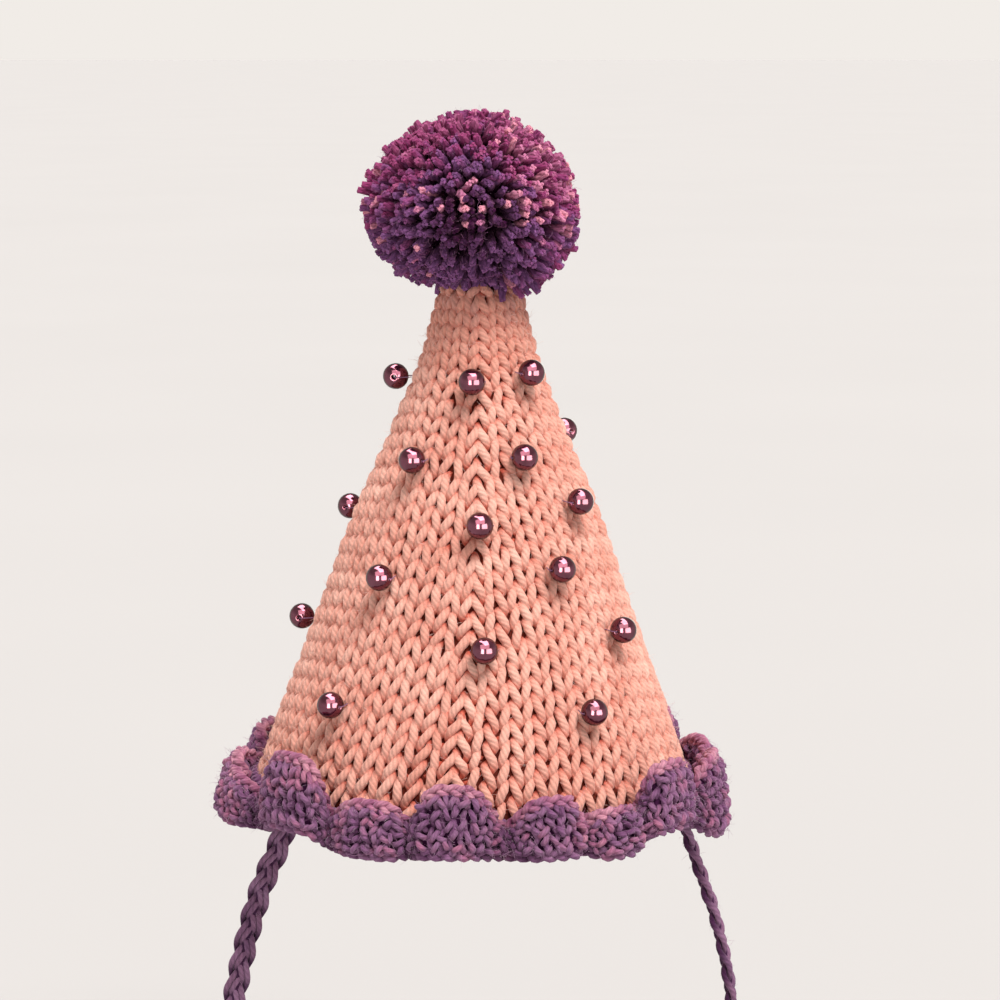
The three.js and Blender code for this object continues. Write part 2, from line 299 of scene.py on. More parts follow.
def on_cloth(panel, side, up, out):
    """A place on a panel: side of its middle, up from the rim, out from the yarn's middle."""
    level = up - cloth_dip(side, up)
    height, reach, slope = cloth_height(level), cloth_reach(level), cloth_slope(level)
    middle = PANEL_HALF_TURN * (2 * panel + 1)
    turn = middle + side / reach + line_turn(height)
    outward = out - KNIT_MIDDLE
    radius = reach + ridge(turn, height) + outward * np.sqrt(1 - slope ** 2)
    return around(np.maximum(radius, 0.5), turn, height - outward * slope)


# Yarn: centre lines become tubes, with the way round and along kept for the plies

def yarn_tree():
    tree = bpy.data.node_groups.new("spin_yarn", "GeometryNodeTree")
    face = tree.interface
    face.new_socket("Lines", in_out="INPUT", socket_type="NodeSocketGeometry")
    for name, kind in (("Yarn radius", "Float"), ("Sides", "Int"), ("Unevenness", "Float"),
                       ("Uneven scale", "Float"), ("Yarn", "Material")):
        face.new_socket(name, in_out="INPUT", socket_type=f"NodeSocket{kind}")
    face.new_socket("Yarns", in_out="OUTPUT", socket_type="NodeSocketGeometry")
    given = add(tree, "NodeGroupInput").outputs

    line = add(tree, "GeometryNodeMeshToCurve", {"Mesh": given["Lines"]})
    along = add(tree, "GeometryNodeSplineParameter")
    kept_line = add(tree, "GeometryNodeCaptureAttribute", {"Geometry": line.outputs[0]})
    kept_line.capture_items.new("FLOAT", "along")
    tree.links.new(along.outputs["Length"], kept_line.inputs["along"])

    noise = add(tree, "ShaderNodeTexNoise", {"Scale": given["Uneven scale"], "Detail": 1.0})
    lump = calc(tree, "ADD", noise.outputs[0], -0.5)
    lump = calc(tree, "MULTIPLY_ADD", lump, given["Unevenness"], 1.0)
    taper = add(tree, "GeometryNodeInputNamedAttribute", {"Name": "thick"}, data_type="FLOAT")
    thick = calc(tree, "MULTIPLY", lump, taper.outputs["Attribute"])

    ring = add(tree, "GeometryNodeCurvePrimitiveCircle",
               {"Resolution": given["Sides"], "Radius": given["Yarn radius"]})
    share = add(tree, "GeometryNodeSplineParameter")
    angle = calc(tree, "MULTIPLY", share.outputs["Factor"], 2 * math.pi)
    kept_ring = add(tree, "GeometryNodeCaptureAttribute", {"Geometry": ring.outputs[0]})
    for name in ("cosine", "sine"):
        kept_ring.capture_items.new("FLOAT", name)
        tree.links.new(calc(tree, name.upper(), angle), kept_ring.inputs[name])

    tube = add(tree, "GeometryNodeCurveToMesh",
               {"Curve": kept_line.outputs[0], "Profile Curve": kept_ring.outputs[0],
                "Scale": thick, "Fill Caps": True})
    way = add(tree, "ShaderNodeCombineXYZ",
              {0: kept_ring.outputs["cosine"], 1: kept_ring.outputs["sine"],
               2: kept_line.outputs["along"]})
    stored = add(tree, "GeometryNodeStoreNamedAttribute",
                 {"Geometry": tube.outputs[0], "Name": "yarn", "Value": way.outputs[0]},
                 data_type="FLOAT_VECTOR", domain="POINT")
    smooth = add(tree, "GeometryNodeSetShadeSmooth", {"Geometry": stored.outputs[0]})
    real = add(tree, "GeometryNodeRealizeInstances", {"Geometry": smooth.outputs[0]})
    dyed = add(tree, "GeometryNodeSetMaterial",
               {"Geometry": real.outputs[0], "Material": given["Yarn"]})
    add(tree, "NodeGroupOutput", {"Yarns": dyed.outputs[0]})
    return tree


SPIN = yarn_tree()


def lines_mesh(name, lines, **values):
    """A mesh of edges alone, one run of edges a line of places in metres. Each value is one
    number or one row of numbers a line, and thick is there in any case."""
    points = np.concatenate(lines)
    mesh = bpy.data.meshes.new(name)
    edges = []
    start = 0
    for line in lines:
        ends = np.arange(start, start + len(line) - 1)
        edges.append(np.stack([ends, ends + 1], axis=1))
        start += len(line)
    mesh.from_pydata(points.tolist(), np.concatenate(edges).tolist(), [])
    values.setdefault("thick", [1] * len(lines))
    for key, rows in values.items():
        spread = [np.broadcast_to(row, len(line)) for row, line in zip(rows, lines)]
        kept = mesh.attributes.new(key, "FLOAT", "POINT")
        kept.data.foreach_set("value", np.concatenate(spread).astype(np.float32))
    return mesh


def closed_mesh(name, places, faces, material):
    """A smooth mesh object of the given places and faces."""
    mesh = bpy.data.meshes.new(name)
    mesh.from_pydata(places.tolist(), [], faces)
    mesh.polygons.foreach_set("use_smooth", [True] * len(faces))
    mesh.materials.append(material)
    return show(name, mesh)


def wrapped_faces(rows, columns, start=0):
    """Quads over rows that join into a ring of columns, last row to first."""
    faces = []
    for i in range(rows):
        here, there = start + i * columns, start + ((i + 1) % rows) * columns
        for j in range(columns):
            k = (j + 1) % columns
            faces.append((here + j, here + k, there + k, there + j))
    return faces


def attach(piece, slot, *nodes):
    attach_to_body(piece, "root")
    if nodes:
        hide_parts(*nodes)


def spin(name, slot, dye, lines, radius, sides, unevenness, nodes=(), lumps=420.0, **values):
    """A piece of yarns along lines in metres. Its radius is in millimetres, unevenness is a
    share of it, and lumps sets how close together the thick and thin places come."""
    source = lines_mesh(f"{name}_lines", lines, **values)
    holder = show(f"{name}_source", source)
    modifier = holder.modifiers.new("spin", "NODES")
    modifier.node_group = SPIN
    settings = {"Yarn radius": radius * MM, "Sides": sides, "Unevenness": unevenness,
                "Uneven scale": lumps, "Yarn": dye}
    for item in SPIN.interface.items_tree:
        if item.in_out == "INPUT" and item.name in settings:
            modifier[item.identifier] = settings[item.name]
    seen = holder.evaluated_get(bpy.context.evaluated_depsgraph_get())
    mesh = bpy.data.meshes.new_from_object(seen)
    mesh.name = name
    bpy.data.objects.remove(holder)
    bpy.data.meshes.remove(source)
    piece = show(name, mesh)
    attach(piece, slot, *nodes)
    return piece


# Materials

def bare_material(name, inputs):
    """A material of one shader with the given inputs."""
    material = bpy.data.materials.new(name)
    material.use_nodes = True
    tree = material.node_tree
    tree.nodes.clear()
    shader = add(tree, "ShaderNodeBsdfPrincipled", inputs)
    add(tree, "ShaderNodeOutputMaterial", {"Surface": shader.outputs[0]})
    return material, tree, shader


def colour_ramp(tree, value, colours):
    """Colours in a row, each with the value at which it stands."""
    ramp = add(tree, "ShaderNodeValToRGB", {0: value})
    band = ramp.color_ramp.elements
    while len(band) < len(colours):
        band.new(0.5)
    for stop, (at, code) in zip(band, colours):
        stop.position = at
        stop.color = linear(code)
    return ramp.outputs["Color"]


def two_tones(tree, shader, scale, detail, code, other, low=0.35, high=0.65):
    """Soft patches of two colours on the shader. Gives the pattern that mixes them."""
    place = add(tree, "ShaderNodeTexCoord")
    patch = add(tree, "ShaderNodeTexNoise",
                {"Vector": place.outputs["Object"], "Scale": scale, "Detail": detail})
    colour = colour_ramp(tree, patch.outputs[0], [(low, code), (high, other)])
    tree.links.new(colour, shader.inputs["Base Color"])
    return patch.outputs[0]


def yarn_material(name, colours, plies, twist, colour_run, sheen_colour,
                  deep, groove=0.7, bump=0.3, drift=0.62, patch=0.38, sheen=0.3):
    """Plied yarn, matt and slightly furry: grooves between the plies wind along it, and its dye
    runs along its length. plies is their number, twist their pitch and colour_run the dye's
    length, in metres. drift and patch share the dye's change along the yarn and over the piece.
    groove is the share of colour that painted shade leaves in the grooves, and deep is the tint
    of painted shade where the attribute tip is low: between the yarns, where little light comes
    back, and at the roots of cut ends."""
    material, tree, shader = bare_material(name, {
        "Roughness": 0.9, "IOR": 1.5, "Specular IOR Level": 0.15, "Sheen Weight": sheen,
        "Sheen Roughness": 0.5, "Sheen Tint": linear(sheen_colour)})
    way = add(tree, "ShaderNodeAttribute", attribute_name="yarn")
    parts = add(tree, "ShaderNodeSeparateXYZ", {0: way.outputs["Vector"]})
    angle = calc(tree, "ARCTAN2", parts.outputs[1], parts.outputs[0])
    turned = calc(tree, "MULTIPLY", angle, plies)
    wound = calc(tree, "MULTIPLY_ADD", parts.outputs[2], 2 * math.pi * plies / twist, turned)
    ply = add(tree, "ShaderNodeMapRange",
              {"Value": calc(tree, "COSINE", wound), "From Min": -1.0, "To Min": 0.0},
              interpolation_type="SMOOTHERSTEP")

    place = add(tree, "ShaderNodeTexCoord")
    fibre = add(tree, "ShaderNodeTexNoise",
                {"Vector": place.outputs["Object"], "Scale": 2600.0, "Detail": 3.0,
                 "Roughness": 0.7})
    run = add(tree, "ShaderNodeTexNoise",
              {"W": parts.outputs[2], "Scale": 1 / colour_run, "Detail": 2.0,
               "Roughness": 0.6}, noise_dimensions="1D")
    spot = add(tree, "ShaderNodeTexNoise",
               {"Vector": place.outputs["Object"], "Scale": 130.0, "Detail": 2.0})
    tone = add(tree, "ShaderNodeAttribute", attribute_name="tone")
    dye = calc(tree, "MULTIPLY_ADD", run.outputs[0], drift, tone.outputs["Fac"])
    dye = calc(tree, "MULTIPLY_ADD", spot.outputs[0], patch, dye)

    # Painted shade in the grooves between the plies, down to the share groove
    depth = add(tree, "ShaderNodeMapRange",
                {"Value": ply.outputs[0], "From Min": 0.0, "From Max": 0.55,
                 "To Min": groove, "To Max": 1.0})
    streak = add(tree, "ShaderNodeMapRange",
                 {"Value": fibre.outputs[0], "From Min": 0.3, "From Max": 0.7,
                  "To Min": 0.82, "To Max": 1.12})
    shade = calc(tree, "MULTIPLY", depth.outputs[0], streak.outputs[0])
    shaded = add(tree, "ShaderNodeVectorMath",
                 {0: colour_ramp(tree, dye, colours), "Scale": shade}, operation="SCALE")
    # Painted shade: the deep tint is multiplied in where tip is low, between the yarns and at roots
    tip = add(tree, "ShaderNodeAttribute", attribute_name="tip")
    lit = add(tree, "ShaderNodeMapRange",
              {"Value": tip.outputs["Fac"], "From Min": 0.25, "From Max": 1.0},
              interpolation_type="SMOOTHSTEP")
    tint = add(tree, "ShaderNodeMix",
               {"Factor": lit.outputs[0], 6: linear(deep), 7: linear("#ffffff")},
               data_type="RGBA")
    seen = add(tree, "ShaderNodeVectorMath", {0: shaded.outputs[0], 1: tint.outputs[2]},
               operation="MULTIPLY")
    tree.links.new(seen.outputs[0], shader.inputs["Base Color"])

    height = calc(tree, "MULTIPLY_ADD", fibre.outputs[0], 0.35, ply.outputs[0])
    relief = add(tree, "ShaderNodeBump",
                 {"Height": height, "Strength": bump, "Distance": 0.0005})
    tree.links.new(relief.outputs[0], shader.inputs["Normal"])
    return material


# Worsted acrylic in salmon: thick loops whose four plies show as fine slanting grooves. Its
# lowest, greyer tone is painted shade at the neck under the pompom, and its deep tint is
# painted shade, rusty, in the depth between two loops
salmon_yarn = yarn_material(
    "salmon_worsted_yarn",
    [(0.05, "#b98c8a"), (0.30, "#e39c8a"), (0.5, "#efb09f"), (0.7, "#f9c4b3")],
    plies=4, twist=0.0052, colour_run=0.030, sheen_colour="#ffdcd0", deep="#d88c7e",
    groove=0.82, sheen=0.5)
# The same weight in a variegated dye, which turns from plum to mauve to pink within a few stitches
ruffle_yarn = yarn_material(
    "variegated_mauve_yarn",
    [(0.26, "#5e3558"), (0.42, "#80547c"), (0.54, "#93688c"), (0.66, "#ad6c8c"),
     (0.80, "#d294a8")],
    plies=4, twist=0.0052, colour_run=0.012, sheen_colour="#d8b8d0", deep="#85587e",
    groove=0.82, bump=0.35, drift=0.3, patch=0.7, sheen=0.4)
# A lighter yarn in a quieter mauve, with painted shade at the crossings where the strands go
# under each other
strap_yarn = yarn_material(
    "plaited_mauve_yarn",
    [(0.34, "#6b4a6c"), (0.5, "#88627f"), (0.66, "#977292")],
    plies=3, twist=0.005, colour_run=0.035, sheen_colour="#c8b0c8", deep="#82648a", groove=0.8)
# Cut ends of the variegated yarn, each of one colour from violet to pink: soft and matt in front,
# with painted shade near black at the root, where no light comes in
pompom_yarn = yarn_material(
    "cut_variegated_yarn",
    [(0.0, "#380c34"), (0.28, "#8e5c94"), (0.48, "#9c4074"), (0.74, "#d684ae"),
     (0.95, "#f6a4ba")],
    plies=3, twist=0.005, colour_run=0.01, sheen_colour="#d890b8", deep="#4c1240", groove=0.8,
    drift=0.0, patch=0.25)


def shell_material(name, code, other):
    """The yarn seen deep between the stitches, dull and fibrous, painted dark as its own shadow."""
    material, tree, shader = bare_material(name, {"Roughness": 1.0, "Specular IOR Level": 0.0})
    fibre = two_tones(tree, shader, 900.0, 3.0, code, other)
    relief = add(tree, "ShaderNodeBump", {"Height": fibre, "Strength": 0.6, "Distance": 0.0008})
    tree.links.new(relief.outputs[0], shader.inputs["Normal"])
    return material


# Crown

LOOP_SLIP = 0.25
LOOP_SIZE_SPREAD = 0.07
ROW_SAG = 0.15
ROW_TONE_SPREAD = 0.03
# Where the painted shade of the neck starts, in millimetres of height, and how far up it grows
NECK_SHADE_FROM = 84
NECK_SHADE_RISE = 24


def rim_stretch(up):
    """How much the cloth is stretched where the hat opens over the head, 1 at the rim."""
    return max(1 - up / STRETCH_HEIGHT, 0) ** 1.5


def cell_edges(half, stitch):
    """Stitch edges from a panel's middle to its decrease line. The two stitches beside the line
    share what is left, so that they narrow until one is knitted into the other."""
    count = max(round(half / stitch), 1)
    if count < 3:
        return np.linspace(0, half, count + 1)
    whole = np.arange(count - 1) * stitch
    last = whole[-1]
    return np.append(whole, [(last + half) / 2, half])


def half_arc(up):
    """From a panel's middle to its decrease line, along a row."""
    side = PANEL_HALF_TURN * cloth_reach(up)
    for _ in range(3):
        side = PANEL_HALF_TURN * cloth_reach(up - cloth_dip(side, up))
    return side


def knit_row(panel, up, pitch):
    """One row of loops across one panel, and how far out each place of it stands, 0 to 1."""
    edges = cell_edges(half_arc(up), STITCH_WIDTH * (1 + STITCH_STRETCH * rim_stretch(up)))
    edges = np.concatenate([-edges[:0:-1], edges])
    t = np.linspace(-math.pi, math.pi, POINTS_PER_STITCH + 1)[:-1]
    free = np.cos(t / 2) ** 2
    places, fronts = [], []
    tall = LOOP_HALF_HEIGHT * pitch / ROW_PITCH
    sag = rng.normal(0, ROW_SAG)
    for left, right in zip(edges[:-1], edges[1:]):
        width = right - left
        slip = rng.normal(0, LOOP_SLIP, 3)
        size = 1 + rng.normal(0, LOOP_SIZE_SPREAD)
        side = (left + right) / 2 + width * (t / (2 * math.pi) + LOOP_SWAY * np.sin(2 * t))
        side = side + slip[0] * free
        rise = tall * size * np.cos(t) + (slip[1] + sag) * free
        out = -LOOP_DEPTH * np.cos(2 * t) + slip[2] * 0.6 * free
        places.append(on_cloth(panel, side, up + rise, out))
        fronts.append((1 - np.cos(2 * t)) / 2)
    return np.concatenate(places), np.concatenate(fronts)


def row_levels():
    """How far up the cloth each row lies, and its pitch: tight at the neck, wide at the rim."""
    levels = []
    up = FIRST_ROW
    while cloth_height(up) < LAST_ROW_HEIGHT:
        high = cloth_height(up) / NECK_HEIGHT
        pitch = ROW_PITCH + (NECK_PITCH - ROW_PITCH) * np.clip((high - 0.8) / 0.2, 0, 1)
        pitch *= 1 + ROW_STRETCH * rim_stretch(up)
        levels.append((up, pitch))
        up += pitch
    return levels


def make_crown():
    levels = row_levels()
    for panel in range(DECREASE_LINES):
        rows, fronts = zip(*(knit_row(panel, up, pitch) for up, pitch in levels))
        # Tone: random from row to row, and lowered towards the neck as painted shade under the
        # pompom
        shade = (cloth_height([up for up, _ in levels]) - NECK_SHADE_FROM) / NECK_SHADE_RISE
        tones = rng.normal(0, ROW_TONE_SPREAD, len(rows)) - NECK_SHADE * np.clip(shade, 0, 1)
        # fronts, given as tip, lay painted shade where the loops go back into the cloth
        thick = [LEG_SWELL[0] + LEG_SWELL[1] * front for front in fronts]
        spin(f"crown_knit_{panel + 1}", "crown_yarn", salmon_yarn, rows, KNIT_YARN, 8, 0.34,
             ["crown"] if panel == 0 else [], tip=fronts, tone=tones, thick=thick)


def lathe(name, profile, facets, material, ridged=0):
    """A closed shell of revolution from a closed profile of reach and height, with the crown's
    decrease ridges on it by the share ridged."""
    turns = 2 * math.pi * np.arange(facets) / facets
    rings = [around(reach + ridged * ridge(turns, height), turns, height)
             for reach, height in profile]
    return closed_mesh(name, np.concatenate(rings), wrapped_faces(len(profile), facets), material)


GROUND_THICKNESS = 0.25
# Depth under the cloth's face and the two colours of what lies there, both painted in shade
CROWN_GROUNDS = [
    ("crown_ground", 2.1, "shaded_salmon_yarn", "#4c1e18", "#6c3026"),
    ("crown_inside", 2.4, "shaded_inner_salmon_yarn", "#c8846f", "#dc9c88"),
]
GROUND_FOOT = -2.4
GROUND_FACETS = 112


def make_crown_ground():
    """The loops' own backs: a thin dark ground of painted shade closes the holes between the
    stitches, and another, the yarn's colour darkened as painted shade, is what shows inside the hat."""
    heights = np.linspace(GROUND_FOOT, LAST_ROW_HEIGHT, 32)
    reach = crown_reach(heights)
    for name, depth, dye, code, other in CROWN_GROUNDS:
        outer = list(zip(reach - depth, heights))
        inner = list(zip(reach - depth - GROUND_THICKNESS, heights))
        material = shell_material(dye, code, other)
        shell = lathe(name, outer + inner[::-1], GROUND_FACETS, material, 1)
        attach(shell, "crown_yarn")


# Chin strap

# Each strand is two yarns side by side, and a thicker hidden yarn runs down the plait's middle
STRAP_YARN = 0.68
STRAP_CORE = 1.0
STRAP_SWAY = 1.55
STRAP_LIFT = 0.8
STRAP_PERIOD = 19.3
STRAP_BESIDE = 0.64
STRAP_STEP = 0.85
STRAP_TUCK = 1.5
PLAIT_STRANDS = 3
# The least share of light that painted shade leaves where a strand goes under
STRAP_DEEPEST = 0.3
# Where along the strap it starts to turn its flat side, over what share of it, and how far
STRAP_TURNS_FROM = 0.45
STRAP_TURNS_OVER = 0.4
STRAP_TURNS = math.radians(84)


def smooth_route(points, spans=16):
    """A centripetal Catmull-Rom curve through points."""
    held = [2 * points[0] - points[1], *points, 2 * points[-1] - points[-2]]
    t = np.linspace(0, 1, spans, endpoint=False)[:, None]
    run = []
    for a, b, c, d in zip(held, held[1:], held[2:], held[3:]):
        before, here, after = (np.linalg.norm(q - p) ** 0.5 for p, q in ((a, b), (b, c), (c, d)))
        start = here * ((b - a) / before - (c - a) / (before + here) + (c - b) / here)
        end = here * ((c - b) / here - (d - b) / (here + after) + (d - c) / after)
        square = 3 * (c - b) - 2 * start - end
        cube = 2 * (b - c) + start + end
        run.append(b + start * t + square * t ** 2 + cube * t ** 3)
    run.append(points[-1:])
    return np.concatenate(run)


def even_steps(route, step):
    """The same route at even steps, and how far along it each place is."""
    along = np.concatenate([[0], np.cumsum(np.linalg.norm(np.diff(route, axis=0), axis=1))])
    even = np.linspace(0, along[-1], round(along[-1] / step) + 1)
    return np.stack([np.interp(even, along, route[:, i]) for i in range(3)], axis=1), even


def unit(vectors):
    return vectors / np.linalg.norm(vectors, axis=-1, keepdims=True)


def plait(route, along, face, period, sway, lift, beside):
    """Three strands plaited along a route, each of yarns side by side at the distances beside,
    and how far forward each place lies, 0 to 1. face is the way that the flat side looks."""
    ahead = unit(np.gradient(route, axis=0))
    face = unit(face - ahead * np.sum(face * ahead, axis=1, keepdims=True))
    wide = np.cross(ahead, face)
    lines, fronts = [], []
    for strand in range(PLAIT_STRANDS):
        angle = 2 * math.pi * (along / period + strand / PLAIT_STRANDS)
        slant = (sway * 2 * math.pi / period * np.cos(angle))[:, None]
        middle = route + wide * (sway * np.sin(angle))[:, None]
        middle = middle + face * (lift * np.sin(2 * angle))[:, None]
        across = unit(wide - ahead * slant)
        lines.extend(middle + across * apart for apart in beside)
        fronts.extend([(1 + np.sin(2 * angle)) / 2] * len(beside))
    return lines, fronts


def make_strap():
    route = even_steps(smooth_route(np.array(STRAP_ROUTE)), STRAP_STEP)[0]
    tuck = np.array([[0, 0, STRAP_TUCK]])
    route = np.concatenate([route[:1] + tuck, route, route[-1:] + tuck])
    route, along = even_steps(route, STRAP_STEP)
    ahead = unit(np.gradient(route, axis=0))
    front = np.array([0.0, -1.0, 0.0])
    level = unit(front - ahead * (ahead @ front)[:, None])
    outward = np.cross(ahead, level)
    share = np.clip((along / along[-1] - STRAP_TURNS_FROM) / STRAP_TURNS_OVER, 0, 1)
    twist = (smooth_share(share) * STRAP_TURNS)[:, None]
    face = level * np.cos(twist) + outward * np.sin(twist)
    lines, fronts = plait(route, along, face, STRAP_PERIOD, STRAP_SWAY, STRAP_LIFT,
                          (-STRAP_BESIDE, STRAP_BESIDE))
    lines = [line * MM for line in [*lines, route]]
    tones = rng.normal(0, 0.04, len(lines))
    # Painted shade: low where a strand goes under, and full on the hidden middle yarn
    tips = [STRAP_DEEPEST + (1 - STRAP_DEEPEST) * front for front in fronts] + [0]
    thick = [1] * len(fronts) + [STRAP_CORE / STRAP_YARN]
    piece = spin("chin_strap_plait", "strap_yarn", strap_yarn, lines, STRAP_YARN, 7, 0.2,
                 ["chin_strap"], 300.0, tone=tones, tip=tips, thick=thick)


make_strap()
make_crown()
make_crown_ground()


# Fluted edge

BAND_SEAT = RIM_RADIUS + DECREASE_RIDGE + SEWING_GAP + BAND_THICKNESS / 2
BAND_BOW = 0.5
# Shares of a fold's reach and swing that its upper edge already has
TOP_REACH = 0.6
TOP_SWING = 0.4
BAND_YARN = 0.66
BAND_ROWS = (0.2, 0.35, 0.5, 0.65, 0.81)
BAND_STITCH = 2.1
BAND_STITCH_SHARE = 0.09
BAND_STITCH_DEPTH = 1.15
BAND_STITCH_POINTS = 8
BAND_STITCH_SLIP = 0.4
BAND_TONES = (0.04, 0.0, 0.0, -0.02, -0.02)
KNOT_ROWS = (0.21, 0.36, 0.51, 0.67, 0.83)
KNOT_PITCH = 2.2
KNOT_HALF = 0.95
KNOT_RISE = 1.35
KNOT_POINTS = 6
KNOT_YARN = 0.62
KNOT_OUT = 0.75
KNOT_SLANT = 0.6
KNOT_TONE_SPREAD = 0.045
EDGE_YARN = 0.74
EDGE_STEP = 0.85
EDGE_PERIOD = 8.8
EDGE_SWAY = 0.9
EDGE_LIFT = 0.9
EDGE_ACROSS = (0.05, 0.95)
# A pinker tone on the upper edge's chain: a painted highlight where the edge faces the light
PINK_EDGE = 0.22
# How much painted shade darkens the valleys between the folds
VALLEY_SHADE = 0.45


def beside_folds(turn):
    """The folds on both sides of each turn in degrees, and how near it is to the valley
    between them, 0 to 1."""
    turns = FOLDS[:, 0]
    whole = (turn - turns[0]) % 360 + turns[0]
    i = np.searchsorted(turns, whole, side="right") - 1
    after = (i + 1) % len(turns)
    next_turn = np.where(after > 0, turns[after], turns[0] + 360)
    share = (whole - turns[i]) / (next_turn - turns[i])
    near = 1 - np.abs(2 * share - 1)
    valley = ((1 - np.cos(math.pi * near)) / 2) ** FOLD_ROUNDNESS
    return np.where(share < 0.5, i, after), valley


def fold_values(turn):
    """The fluted edge's reach, lift, drop, splay and swing at turns in degrees: at a fold they
    are the fold's own, halfway to the next they are the valley's."""
    nearest, valley = beside_folds(turn)
    fold = FOLDS[nearest, 1:]
    return fold + (BETWEEN_FOLDS - fold) * valley[:, None]


def in_valley(turn, front):
    """How far out each place stands, 0 to 1, less where the folds crowd round it: the share of light
    that the painted shade leaves there.
    """
    return front * (1 - VALLEY_SHADE * beside_folds(turn)[1])


def band_middle(turn, across):
    """A place halfway through the band's thickness, in millimetres, for a turn in degrees."""
    reach, lift, drop, splay, swing = fold_values(turn).T
    across = np.broadcast_to(across, turn.shape)
    reach = reach * FOLD_DEPTH
    splay = splay * FOLD_DEPTH * across
    bow = BAND_BOW * np.sin(math.pi * across) * reach / FOLD_DEPTH
    top = BAND_WIDTH * lift
    bottom = -BAND_WIDTH * drop
    radius = BAND_SEAT + reach * (TOP_REACH + (1 - TOP_REACH) * across) + splay / 2 + bow
    angle = np.radians(turn + swing * (TOP_SWING + (1 - TOP_SWING) * across))
    return around(radius, angle, top + (bottom - top) * across) / MM


def band_place(turn, across, out):
    """A place out of the band's middle, square to it, in metres."""
    step = 0.6
    ahead = band_middle(turn + step, across) - band_middle(turn - step, across)
    down = band_middle(turn, across + 0.05) - band_middle(turn, across - 0.05)
    outward = unit(np.cross(down, ahead))
    return (band_middle(turn, across) + outward * np.expand_dims(out, -1)) * MM, outward


def band_run(across):
    """Turn in degrees against the distance along one line of the band."""
    turns = np.linspace(0, 360, 1441)
    line = band_middle(turns, across)
    steps = np.linalg.norm(np.diff(line, axis=0), axis=1)
    return np.concatenate([[0], np.cumsum(steps)]), turns


def band_row(across, hand):
    """One row of crochet round the band: each stitch goes once round the row, and alternate
    rows slant the other way. Gives the places and how far out each stands, 0 to 1."""
    along, turns = band_run(across)
    count = round(along[-1] / BAND_STITCH)
    width = along[-1] / count
    share = np.linspace(0, 1, BAND_STITCH_POINTS, endpoint=False)
    wide = np.sin(math.pi * share) ** 2
    angle = 2 * math.pi * share
    sides, ups, outs, fronts = [], [], [], []
    for stitch in range(count):
        slip = rng.normal(0, BAND_STITCH_SLIP, 4)
        size = 1 + 0.6 * slip[2] * wide
        sides.append(width * (stitch + share) + slip[0] * wide)
        swing = BAND_STITCH_SHARE * hand * np.cos(angle) * size
        ups.append(across + swing + 0.05 * slip[1] * wide)
        outs.append(BAND_STITCH_DEPTH * np.sin(angle) * size + slip[3] * wide * 0.6)
        fronts.append(np.abs(np.sin(angle)))
    for rows, end in ((sides, along[-1]), (ups, 0), (outs, 0), (fronts, 0)):
        rows.append(rows[0][:1] + end)
    turn = np.interp(np.concatenate(sides) % along[-1], along, turns)
    places = band_place(turn, np.clip(np.concatenate(ups), 0, 1), np.concatenate(outs))[0]
    # Painted shade where the stitches go back, and in the valleys
    return places, in_valley(turn, np.concatenate(fronts))


def band_knots():
    """The short bars and bumps of each stitch's wrapped yarn, on both faces of the band."""
    t = np.linspace(0, math.pi, KNOT_POINTS)
    lines, tones, tips = [], [], []
    for row, middle in enumerate(KNOT_ROWS):
        along, turns = band_run(middle)
        count = round(along[-1] / KNOT_PITCH)
        for side in (1, -1):
            for stitch in range(0, count, 1 if side > 0 else 2):
                slip = rng.normal(0, 1, 4)
                slant = KNOT_SLANT * (1 if (row + stitch) % 2 else -1) + 0.35 * slip[0]
                half = KNOT_HALF * (1 + 0.16 * slip[1])
                place = (stitch + 0.5 * (row % 2) + 0.14 * slip[2]) * along[-1] / count
                place = place + half * np.cos(t) * math.sin(slant)
                across = middle + 0.02 * slip[3] + half * np.cos(t) * math.cos(slant) / BAND_WIDTH
                out = side * (KNOT_OUT + KNOT_RISE * np.sin(t) * (1 + 0.14 * slip[1]))
                turn = np.interp(place % along[-1], along, turns)
                lines.append(band_place(turn, np.clip(across, 0.02, 0.98), out)[0])
                tones.append(rng.normal(0.0, KNOT_TONE_SPREAD))
                # Painted shade at the knots' feet, and in the valleys
                tips.append(in_valley(turn, 0.35 + 0.65 * np.sin(t)))
    return lines, tones, tips


def band_edge(across):
    """The chain of stitches along one edge of the band, three strands that link like a plait."""
    along, turns = band_run(across)
    even = np.linspace(0, along[-1], round(along[-1] / EDGE_STEP) + 1)
    turn = np.interp(even, along, turns)
    route, outward = band_place(turn, np.full(len(turn), across), np.zeros(len(turn)))
    periods = round(even[-1] / EDGE_PERIOD)
    lines, fronts = plait(route, even * MM, outward, even[-1] * MM / periods, EDGE_SWAY * MM,
                          EDGE_LIFT * MM, (0,))
    # Painted shade where a strand of the chain goes under, and in the valleys
    return lines, [in_valley(turn, 0.5 + 0.5 * np.abs(2 * front - 1)) for front in fronts]


BAND_GROUND_FACETS = 720
BAND_GROUND_ACROSS = (0.1, 0.5, 0.9)
BAND_GROUND_HALF = 0.7


def band_ground():
    """The hidden middle of the stitches: a thin dark band of painted shade that closes the holes
    between them.
    """
    turn = np.linspace(0, 360, BAND_GROUND_FACETS, endpoint=False)
    profile = [(across, -BAND_GROUND_HALF) for across in BAND_GROUND_ACROSS]
    profile += [(across, BAND_GROUND_HALF) for across in BAND_GROUND_ACROSS[::-1]]
    rings = [band_place(turn, np.full(len(turn), across), np.full(len(turn), out))[0]
             for across, out in profile]
    return np.concatenate(rings), wrapped_faces(len(rings), len(turn))


SEAM_YARN = 0.95
SEAM_PITCH = 3.1
SEAM_SPREAD = 1.5
SEAM_POINTS = 12
SEAM_OUT = 2.5
SEAM_RISE = 0.65
